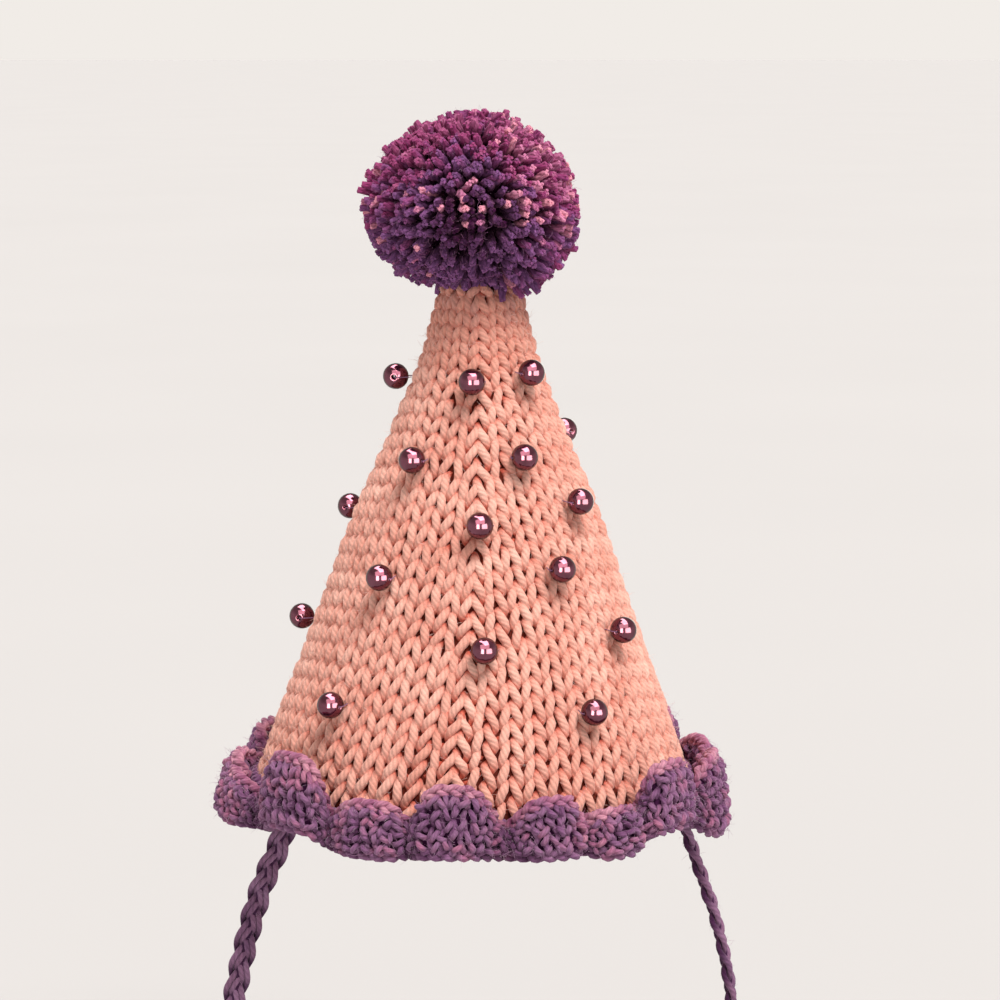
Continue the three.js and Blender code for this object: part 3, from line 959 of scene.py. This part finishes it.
# The shade behind the seam: how far it stays inside the seam's own edges
SEAM_GROUND_IN = 0.8
SEAM_GROUND_OUT = 1.2
SEAM_GROUND_MARGIN = 0.5
SEAM_GROUND_FACETS = 96


def seam_coil():
    """The overcast stitches that sew the band to the rim."""
    middle = RIM_RADIUS - SEAM_INSET + SEAM_OUT
    count = round(2 * math.pi * middle / SEAM_PITCH)
    angle = np.linspace(0, 2 * math.pi * count, count * SEAM_POINTS + 1)
    turn = angle / count
    drop = SEWING_GAP + SEAM_DEPTH / 2
    height = -drop + SEAM_RISE * np.sin(angle)
    return around(middle + SEAM_SPREAD * np.cos(angle), turn, height)


WEB_PITCH = 1.75
WEB_YARN = 0.9
WEB_ACROSS = 0.8
WEB_RISE = 0.5


def first_round():
    """The ruffle's first round, worked from the rim out to the foot of each fold."""
    count = round(2 * math.pi * RIM_RADIUS / WEB_PITCH)
    angle = np.linspace(0, 2 * math.pi * count, count * SEAM_POINTS + 1)
    rim = around(RIM_RADIUS, angle / count, -SEWING_GAP - SEAM_DEPTH / 2) / MM
    fold = band_middle(np.degrees(angle / count), WEB_ACROSS)
    share = (1 - np.cos(angle)) / 2
    line = rim + (fold - rim) * share[:, None]
    line[:, 2] += WEB_RISE * np.sin(angle)
    return line * MM


def make_ruffle():
    rows, fronts = zip(*(band_row(across, 1 if i % 2 else -1)
                         for i, across in enumerate(BAND_ROWS)))
    spin("ruffle_crochet", "ruffle_yarn", ruffle_yarn, rows, BAND_YARN, 7, 0.5, ["ruffle"],
         tip=fronts, tone=BAND_TONES)
    lines, tones, tips = band_knots()
    spin("ruffle_knots", "ruffle_yarn", ruffle_yarn, lines, KNOT_YARN, 6, 0.5,
         tone=tones, tip=tips)
    lines, tones, tips = [], [], []
    # The upper edge takes the painted highlight PINK_EDGE, the lower edge none
    for across, tone in zip(EDGE_ACROSS, (PINK_EDGE, 0)):
        edge, fronts = band_edge(across)
        lines.extend(edge)
        tones.extend([tone] * len(edge))
        tips.extend(fronts)
    spin("ruffle_edges", "ruffle_yarn", ruffle_yarn, lines, EDGE_YARN, 7, 0.45,
         tone=tones, tip=tips)
    # The seam and the first round lie under the band: their fixed tip paints shade on them
    spin("ruffle_seam", "ruffle_yarn", ruffle_yarn, [seam_coil()], SEAM_YARN, 6, 0.2, tip=[0.8])
    spin("ruffle_first_round", "ruffle_yarn", ruffle_yarn, [first_round()], WEB_YARN, 6, 0.4,
         tip=[0.6])
    material = shell_material("shaded_mauve_yarn", "#301430", "#4a2448")
    places, faces = band_ground()
    attach(closed_mesh("ruffle_ground", places, faces, material), "ruffle_yarn")
    inner, outer = RIM_RADIUS - SEAM_INSET + SEAM_GROUND_IN, RIM_RADIUS + SEAM_GROUND_OUT
    top = -SEWING_GAP - SEAM_GROUND_MARGIN
    bottom = -SEWING_GAP - SEAM_DEPTH + SEAM_GROUND_MARGIN
    profile = [(inner, bottom), (outer, bottom), (outer, top), (inner, top)]
    attach(lathe("seam_ground", profile, SEAM_GROUND_FACETS, material), "ruffle_yarn")


make_ruffle()


# Pompom

STRANDS = 1720
STRAND_POINTS = 5
STRAND_PLIES = 3
STRAND_PLY_RADIUS = 0.6
STRAND_SPREAD = 0.52
STRAND_TWIST = 8
STRAND_ROOT = 0.64
STRAND_TAPER = np.array([1, 1, 1.05, 1.12, 0.7])
STRAND_STRAY = 0.035
STRAND_LENGTH_SPREAD = 0.028
STRAND_LEAN = 1.35
STRAND_BOW = 0.45
CLUMP_SCALE = 9
GOLDEN_TURN = math.radians(137.508)
NECK_TILT = math.radians(-63)
CORE_SHARE = 0.72
CORE_RINGS = 24
CORE_FACETS = 48
LOBE_WIDTH = math.radians(13)

# Where the pompom bulges or sheds an end: tilt above the level and turn from the front in
# degrees, and reach as a share of the round's
POMPOM_LOBES = [
    (80, 60, 1.05),
    (6, -88, 1.06),
    (-24, -80, 1.05),
    (-22, 86, 1.07),
    (-50, 62, 1.14),
    (-50, 10, 0.95),
    (-52, -50, 0.96),
]


def direction(tilt, turn):
    """A way that points up by tilt and away from the front by turn."""
    level = np.cos(tilt)
    return np.stack([level * np.sin(turn), -level * np.cos(turn), np.sin(tilt)], axis=-1)


def pompom_centre():
    """The pompom's middle, in millimetres."""
    centre = around(np.array(0.0), np.array(0.0), CROWN_HEIGHT + POMPOM_RISE) / MM
    return centre + np.array([POMPOM_SHIFT, 0, 0])


def pompom_reach(way):
    """How far the trimmed round stands from its centre in each direction."""
    squash = np.array([1, 1, 1 / POMPOM_FLATTENING])
    reach = POMPOM_RADIUS / np.linalg.norm(way * squash, axis=-1)
    for tilt, turn, share in POMPOM_LOBES:
        apart = np.arccos(np.clip(way @ direction(math.radians(tilt), math.radians(turn)), -1, 1))
        reach = reach * (1 + (share - 1) * np.exp(-(apart / LOBE_WIDTH) ** 2 / 2))
    return reach


# Tone of the cut ends, from 0 for violet to 1 for pink: partly the dye, partly painted shade
# and painted light. Angles are in degrees
STRAND_TONE = 0.20
TONE_BY_HEIGHT = 0.16
TONE_BY_RIGHT = 0.08
# Painted light that lightens both sides of the pompom
TONE_BY_SIDE = 0.05
TONE_SPREAD = 0.06
# Painted shade in the hollow that faces the front: its depth in tone and its width in degrees
HOLLOW_DARKNESS = 0.36
HOLLOW_WIDTH = 29
STRAY_PINKS = 0.03
BELT_PINKS = 0.26
BELT_TILT = 4
BELT_WIDTH = 9
PINK_TONES = (0.55, 0.85)


def strand_tones(way):
    """The tone of each cut end: violet below, plum magenta above and a little lighter on the right,
    painted shade darkest in the hollow that faces the front, painted light on both sides, with
    pink ends in a belt and on the right."""
    count = len(way)
    tilt = np.degrees(np.arcsin(way[:, 2]))
    right = np.clip(way[:, 0], 0, 1)
    tone = STRAND_TONE + TONE_BY_HEIGHT * np.clip(tilt / 30, -0.6, 1) + TONE_BY_RIGHT * right
    # Painted light on both sides
    tone += TONE_BY_SIDE * np.abs(way[:, 0])
    tone += rng.normal(0, TONE_SPREAD, count)
    # Painted shade, darkest in the hollow that faces the front
    from_front = np.degrees(np.arccos(way @ direction(0, 0)))
    tone -= HOLLOW_DARKNESS * np.exp(-(from_front / HOLLOW_WIDTH) ** 2)
    pinks = STRAY_PINKS + BELT_PINKS * np.exp(-((tilt - BELT_TILT) / BELT_WIDTH) ** 2)
    pinks += BELT_PINKS * right * (tilt > -20)
    pink = rng.random(count) < pinks
    tone[pink] = rng.uniform(*PINK_TONES, pink.sum())
    return tone


def make_strands(centre):
    """The cut ends, each one plied of three, close together and slightly clumped."""
    i = np.arange(STRANDS)
    way = direction(np.arcsin(1 - 2 * (i + 0.5) / STRANDS), i * GOLDEN_TURN)
    way = unit(way + rng.normal(0, STRAND_STRAY, way.shape))
    end = pompom_reach(way) * (1 + rng.normal(0, STRAND_LENGTH_SPREAD, STRANDS))
    end = end - STRAND_PLY_RADIUS
    pulls = rng.normal(0, 1, (3, 3))
    clump = [np.sin(way @ pull * CLUMP_SCALE + k) for k, pull in enumerate(pulls)]
    lean = np.stack(clump, axis=-1) + rng.normal(0, STRAND_LEAN, way.shape)
    tones = strand_tones(way)
    lines, line_tones = [], []
    share = np.linspace(0, 1, STRAND_POINTS)
    spread = (STRAND_SPREAD * (1 - 0.1 * share ** 4))[:, None]
    for k in range(STRANDS):
        if math.asin(way[k, 2]) < NECK_TILT:
            continue
        start = way[k] * end[k] * STRAND_ROOT
        far = way[k] * end[k] + lean[k]
        far = far * end[k] / np.linalg.norm(far)
        bow = rng.normal(0, STRAND_BOW, 3) * np.sin(math.pi * share)[:, None]
        spine = centre + start + (far - start) * share[:, None] + bow
        side = unit(np.cross(way[k], [0.3, 0.2, 1.0]))
        over = np.cross(way[k], side)
        first = rng.uniform(0, 2 * math.pi)
        turns = share * np.linalg.norm(far - start) / STRAND_TWIST
        for ply in range(STRAND_PLIES):
            wind = first + 2 * math.pi * (ply / STRAND_PLIES + turns)[:, None]
            lines.append((spine + (side * np.cos(wind) + over * np.sin(wind)) * spread) * MM)
            line_tones.append(tones[k] + rng.normal(0, 0.02))
    # tip runs from root to cut end, so painted shade darkens each end towards its root
    spin("pompom_yarn_ends", "pompom_yarn", pompom_yarn, lines, STRAND_PLY_RADIUS, 4, 0.3,
         ["pompom"], 500.0, tone=line_tones, tip=[share] * len(lines),
         thick=[STRAND_TAPER] * len(lines))


def make_core(centre):
    """The tied middle, where the strands are too close together to tell apart, painted near black
    as the shade deep inside the pompom.
    """
    round_core = np.array([1, 1, POMPOM_FLATTENING]) * POMPOM_RADIUS * CORE_SHARE
    heights = np.linspace(-math.pi / 2, math.pi / 2, CORE_RINGS + 2)
    around_core = 2 * math.pi * np.arange(CORE_FACETS) / CORE_FACETS
    places = [direction(heights[0], 0)]
    for height in heights[1:-1]:
        places.extend(direction(np.full(CORE_FACETS, height), around_core))
    places.append(direction(heights[-1], 0))
    faces = wrapped_faces(CORE_RINGS, CORE_FACETS, 1)[:(CORE_RINGS - 1) * CORE_FACETS]
    top, last = 1 + CORE_RINGS * CORE_FACETS, 1 + (CORE_RINGS - 1) * CORE_FACETS
    for j in range(CORE_FACETS):
        k = (j + 1) % CORE_FACETS
        faces.append((0, 1 + k, 1 + j))
        faces.append((top, last + j, last + k))
    places = (centre + np.array(places) * round_core) * MM
    material = shell_material("pompom_core_shade", "#1c0618", "#2c0c26")
    attach(closed_mesh("pompom_core", places, faces, material), "pompom_yarn")


make_strands(pompom_centre())
make_core(pompom_centre())


# Pearls

PEARL_SIDES = 32
PEARL_ARC = 20
PEARLS = [f"pearl_{row}_{i + 1}"
          for row in ("top", "upper", "middle", "lower", "low", "hem") for i in range(5)]
THREAD_RADIUS = 0.12
# Half of the thread's run, from the pearl's middle: along its bore and back into the knitting
THREAD_RUN = np.array([(0, 0), (0.6, 0), (1.0, 0.03), (1.02, 0.2), (0.93, 0.5), (0.74, 0.8),
                       (0.5, 1.3)])


def pearl_material():
    """Glass pearl: a glass bead under many coats of pearl essence, dark plum with a mirror-like
    lustre that keeps the windows sharp, under a clear lacquer."""
    material, tree, shader = bare_material("plum_glass_pearl", {
        "Metallic": 0.95, "Roughness": 0.13, "Specular Tint": linear("#704058"),
        "Coat Weight": 0.8, "Coat Roughness": 0.04})
    two_tones(tree, shader, 400.0, 2.0, "#5c2838", "#6e3648")
    return material


def make_pearls():
    """Drilled pearls where the frame has them, bores level, each sewn on by its thread."""
    lip = math.asin(PEARL_BORE / PEARL_RADIUS)
    angle = np.linspace(-math.pi / 2 + lip, math.pi / 2 - lip, PEARL_ARC)
    around_bore = 2 * math.pi * np.arange(PEARL_SIDES) / PEARL_SIDES
    places, faces, threads = [], [], []
    for name in PEARLS:
        low, high = (np.array(corner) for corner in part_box(name))
        centre = (low + high) / 2 / MM
        turn = math.atan2(centre[0] - CROWN_LEAN * centre[2] / CROWN_HEIGHT, -centre[1])
        bore = np.array([math.cos(turn), math.sin(turn), 0])
        away = np.array([math.sin(turn), -math.cos(turn), 0])
        rise = np.array([0, 0, 1.0])
        faces.extend(wrapped_faces(PEARL_ARC, PEARL_SIDES, len(places) * PEARL_SIDES))
        ring = np.cos(around_bore)[:, None] * away - np.sin(around_bore)[:, None] * rise
        for a in angle:
            places.append((centre + bore * PEARL_RADIUS * math.sin(a)
                           + ring * PEARL_RADIUS * math.cos(a)) * MM)
        run = THREAD_RUN * PEARL_RADIUS
        half = centre + bore * run[:, :1] - away * run[:, 1:]
        other = centre - bore * run[:0:-1, :1] - away * run[:0:-1, 1:]
        threads.append(np.concatenate([other, half]) * MM)
    piece = closed_mesh("glass_pearls", np.concatenate(places), faces, pearl_material())
    attach(piece, "pearl", *PEARLS)
    spin("pearl_threads", "strap_yarn", strap_yarn, threads, THREAD_RADIUS, 6, 0.0,
         tip=[1] * len(threads))
    return piece


pearls = make_pearls()


# Loose fibres

FUZZ_RADIUS = 0.036
FIBRE_TAPER = np.array([1, 0.8, 0.4])
FIBRE_STRAY = 0.75
FIBRE_BOW = 0.6
SHORTEST_FIBRE = 0.25
# How many fibres stand off each part, and how long the longest of them is
CROWN_FUZZ = 5000
CROWN_FUZZ_LENGTH = 2.0
RUFFLE_FUZZ = 5200
RUFFLE_FUZZ_LENGTH = 2.2
RUFFLE_HALF_THICKNESS = 1.9
POMPOM_FUZZ = 1500
POMPOM_FUZZ_LENGTH = 1.8
STRAP_FUZZ = 350
STRAP_FUZZ_LENGTH = 1.7
STRAP_HALF_THICKNESS = 1.6


def fuzz(name, roots, outward, longest, slot, material):
    """Loose fibres that stand off the yarn, each one bowed. Roots in metres, lengths in mm."""
    count = len(roots)
    length = longest * (SHORTEST_FIBRE + (1 - SHORTEST_FIBRE) * rng.random(count) ** 2)
    way = unit(outward + rng.normal(0, FIBRE_STRAY, (count, 3)))
    bow = np.cross(way, rng.normal(0, 1, (count, 3))) * FIBRE_BOW
    lines = []
    for root, ahead, bend, long in zip(roots, way, bow, length):
        share = np.array([0, 0.5, 1])[:, None]
        lines.append(root + (ahead * share + bend * share * share) * long * MM)
    spin(name, slot, material, lines, FUZZ_RADIUS, 3, 0.0, thick=[FIBRE_TAPER] * count)


def fibre_material(name, code, other):
    """Single acrylic fibres, paler than their yarn: painted light that stands in for the light
    that comes through them, as they are thin enough to let it through.
    """
    material, tree, shader = bare_material(name, {"Roughness": 0.8, "Sheen Weight": 0.6})
    two_tones(tree, shader, 200.0, 2.0, code, other)
    return material


salmon_fibres = fibre_material("loose_salmon_fibres", "#f4c8bc", "#fbdcd2")
mauve_fibres = fibre_material("loose_mauve_fibres", "#966a90", "#bc94b2")
plum_fibres = fibre_material("loose_plum_fibres", "#7c4474", "#ac6c9c")


def make_fuzz():
    ups = np.interp(rng.random(CROWN_FUZZ) ** 1.4, [0, 1], [0, CLOTH_UP[-1] * 0.95])
    sides = half_arc(ups) * rng.uniform(-1, 1, CROWN_FUZZ)
    panels = rng.integers(0, DECREASE_LINES, CROWN_FUZZ)
    roots = on_cloth(panels, sides, ups, np.full(CROWN_FUZZ, LOOP_DEPTH + 0.3))
    outward = unit(on_cloth(panels, sides, ups, np.full(CROWN_FUZZ, 3.0)) - roots)
    fuzz("crown_fuzz", roots, outward, CROWN_FUZZ_LENGTH, "crown_yarn", salmon_fibres)

    turn = rng.uniform(0, 360, RUFFLE_FUZZ)
    face = rng.choice([-1, 1], RUFFLE_FUZZ, p=[0.3, 0.7])
    across = rng.uniform(0.02, 0.98, RUFFLE_FUZZ)
    roots, outward = band_place(turn, across, face * RUFFLE_HALF_THICKNESS)
    fuzz("ruffle_fuzz", roots, outward * face[:, None], RUFFLE_FUZZ_LENGTH, "ruffle_yarn",
         mauve_fibres)

    tilt = np.arcsin(rng.uniform(-0.9, 1, POMPOM_FUZZ))
    way = direction(tilt, rng.uniform(0, 2 * math.pi, POMPOM_FUZZ))
    roots = (pompom_centre() + way * (pompom_reach(way) - 0.8)[:, None]) * MM
    fuzz("pompom_fuzz", roots, way, POMPOM_FUZZ_LENGTH, "pompom_yarn", plum_fibres)

    route = even_steps(smooth_route(np.array(STRAP_ROUTE)), 0.5)[0]
    pick = rng.integers(8, len(route) - 8, STRAP_FUZZ)
    ahead = unit(np.gradient(route, axis=0))[pick]
    away = unit(np.cross(ahead, rng.normal(0, 1, (STRAP_FUZZ, 3))))
    roots = (route[pick] + away * STRAP_HALF_THICKNESS) * MM
    fuzz("strap_fuzz", roots, away, STRAP_FUZZ_LENGTH, "strap_yarn", mauve_fibres)


make_fuzz()


# Light, floor and air

FLOOR_DROP = 4
FLOOR_REACH = 60
# The middle of the crown, which the windows face
LIT_PLACE = (0, 0, 0.06)
# Daylight and its return from the wall behind: strength, spread, angle above the level and turn
# from the front in degrees
SUNS = [
    ("daylight", 3.45, 28, 60, 34, "#fffaf6"),
    ("light_from_behind", 0.8, 60, 42, 200, "#fff4f2"),
]
# Windows of the room that the pearls mirror: place, width and height in metres, power in watts
WINDOWS = [
    ("right_window", (0.46, -0.52, 0.04), (0.60, 0.60), 12.0, "#fafff0"),
    ("left_window", (-0.17, -0.68, 0.02), (0.28, 0.66), 9.5, "#fafff0"),
    ("ceiling_light", (0.03, 0.02, 0.85), (1.10, 0.56), 25.0, "#fff6f2"),
    ("pale_ceiling", (0.05, -0.52, 0.60), (1.10, 0.56), 8.0, "#fff2ee"),
    ("rear_window", (0.20, 0.72, 0.02), (0.30, 0.40), 0.5, "#fafff0"),
]


def make_window(name, place, size, power, tint, lit):
    """A soft pane of light that only the pieces of one collection mirror."""
    light = bpy.data.lights.new(name, "AREA")
    light.shape = "RECTANGLE"
    light.size, light.size_y = size
    light.energy = power
    light.color = linear(tint)[:3]
    lamp = show(name, light)
    lamp.location = place
    way = np.array(LIT_PLACE) - np.array(place)
    flat = math.hypot(way[0], way[1])
    lamp.rotation_euler = (math.atan2(flat, -way[2]), 0, math.atan2(-way[0], way[1]))
    lamp.visible_camera = False
    lamp.light_linking.receiver_collection = lit


def make_sun(name, strength, spread, tilt, turn, tint):
    """Soft daylight from one side."""
    light = bpy.data.lights.new(name, "SUN")
    light.energy = strength
    light.angle = math.radians(spread)
    light.color = linear(tint)[:3]
    lamp = show(name, light)
    lamp.rotation_euler = (math.radians(90 - tilt), 0, math.radians(turn))
    lamp.visible_glossy = False


def make_world():
    """Bright round the horizon, as the floor is, and dimmer overhead."""
    world = bpy.data.worlds.new("air")
    world.use_nodes = True
    tree = world.node_tree
    tree.nodes.clear()
    way = add(tree, "ShaderNodeTexCoord")
    parts = add(tree, "ShaderNodeSeparateXYZ", {0: way.outputs["Generated"]})
    climb = add(tree, "ShaderNodeMapRange",
                {"Value": parts.outputs[2], "From Min": 0.1, "From Max": 0.6},
                interpolation_type="SMOOTHSTEP")
    tint = add(tree, "ShaderNodeMix",
               {"Factor": climb.outputs[0], 6: linear("#f1ece7"), 7: linear("#a6a29e")},
               data_type="RGBA")
    back = add(tree, "ShaderNodeBackground", {"Color": tint.outputs[2]})
    add(tree, "ShaderNodeOutputWorld", {"Surface": back.outputs[0]})
    bpy.context.scene.world = world


def make_floor():
    """A plain pale floor, far wider than the view."""
    low, far = cad_box[0][2] - FLOOR_DROP * MM, FLOOR_REACH
    mesh = bpy.data.meshes.new("floor")
    mesh.from_pydata([(-far, -far, low), (far, -far, low), (far, far, low), (-far, far, low)], [],
                     [(0, 1, 2, 3)])
    material, tree, shader = bare_material("pale_floor",
                                           {"Roughness": 0.9, "Specular IOR Level": 0.0})
    two_tones(tree, shader, 3.0, 2.0, "#c2c2c2", "#c5c5c5", 0.0, 1.0)
    mesh.materials.append(material)
    floor = show("floor", mesh)


def make_stage():
    make_floor()
    make_world()
    for sun in SUNS:
        make_sun(*sun)
    lustre = bpy.data.collections.new("lustrous")
    lustre.objects.link(pearls)
    for window in WINDOWS:
        make_window(*window, lustre)


make_stage()

# Colours as they are, without a film curve
bpy.context.scene.view_settings.view_transform = "Standard"
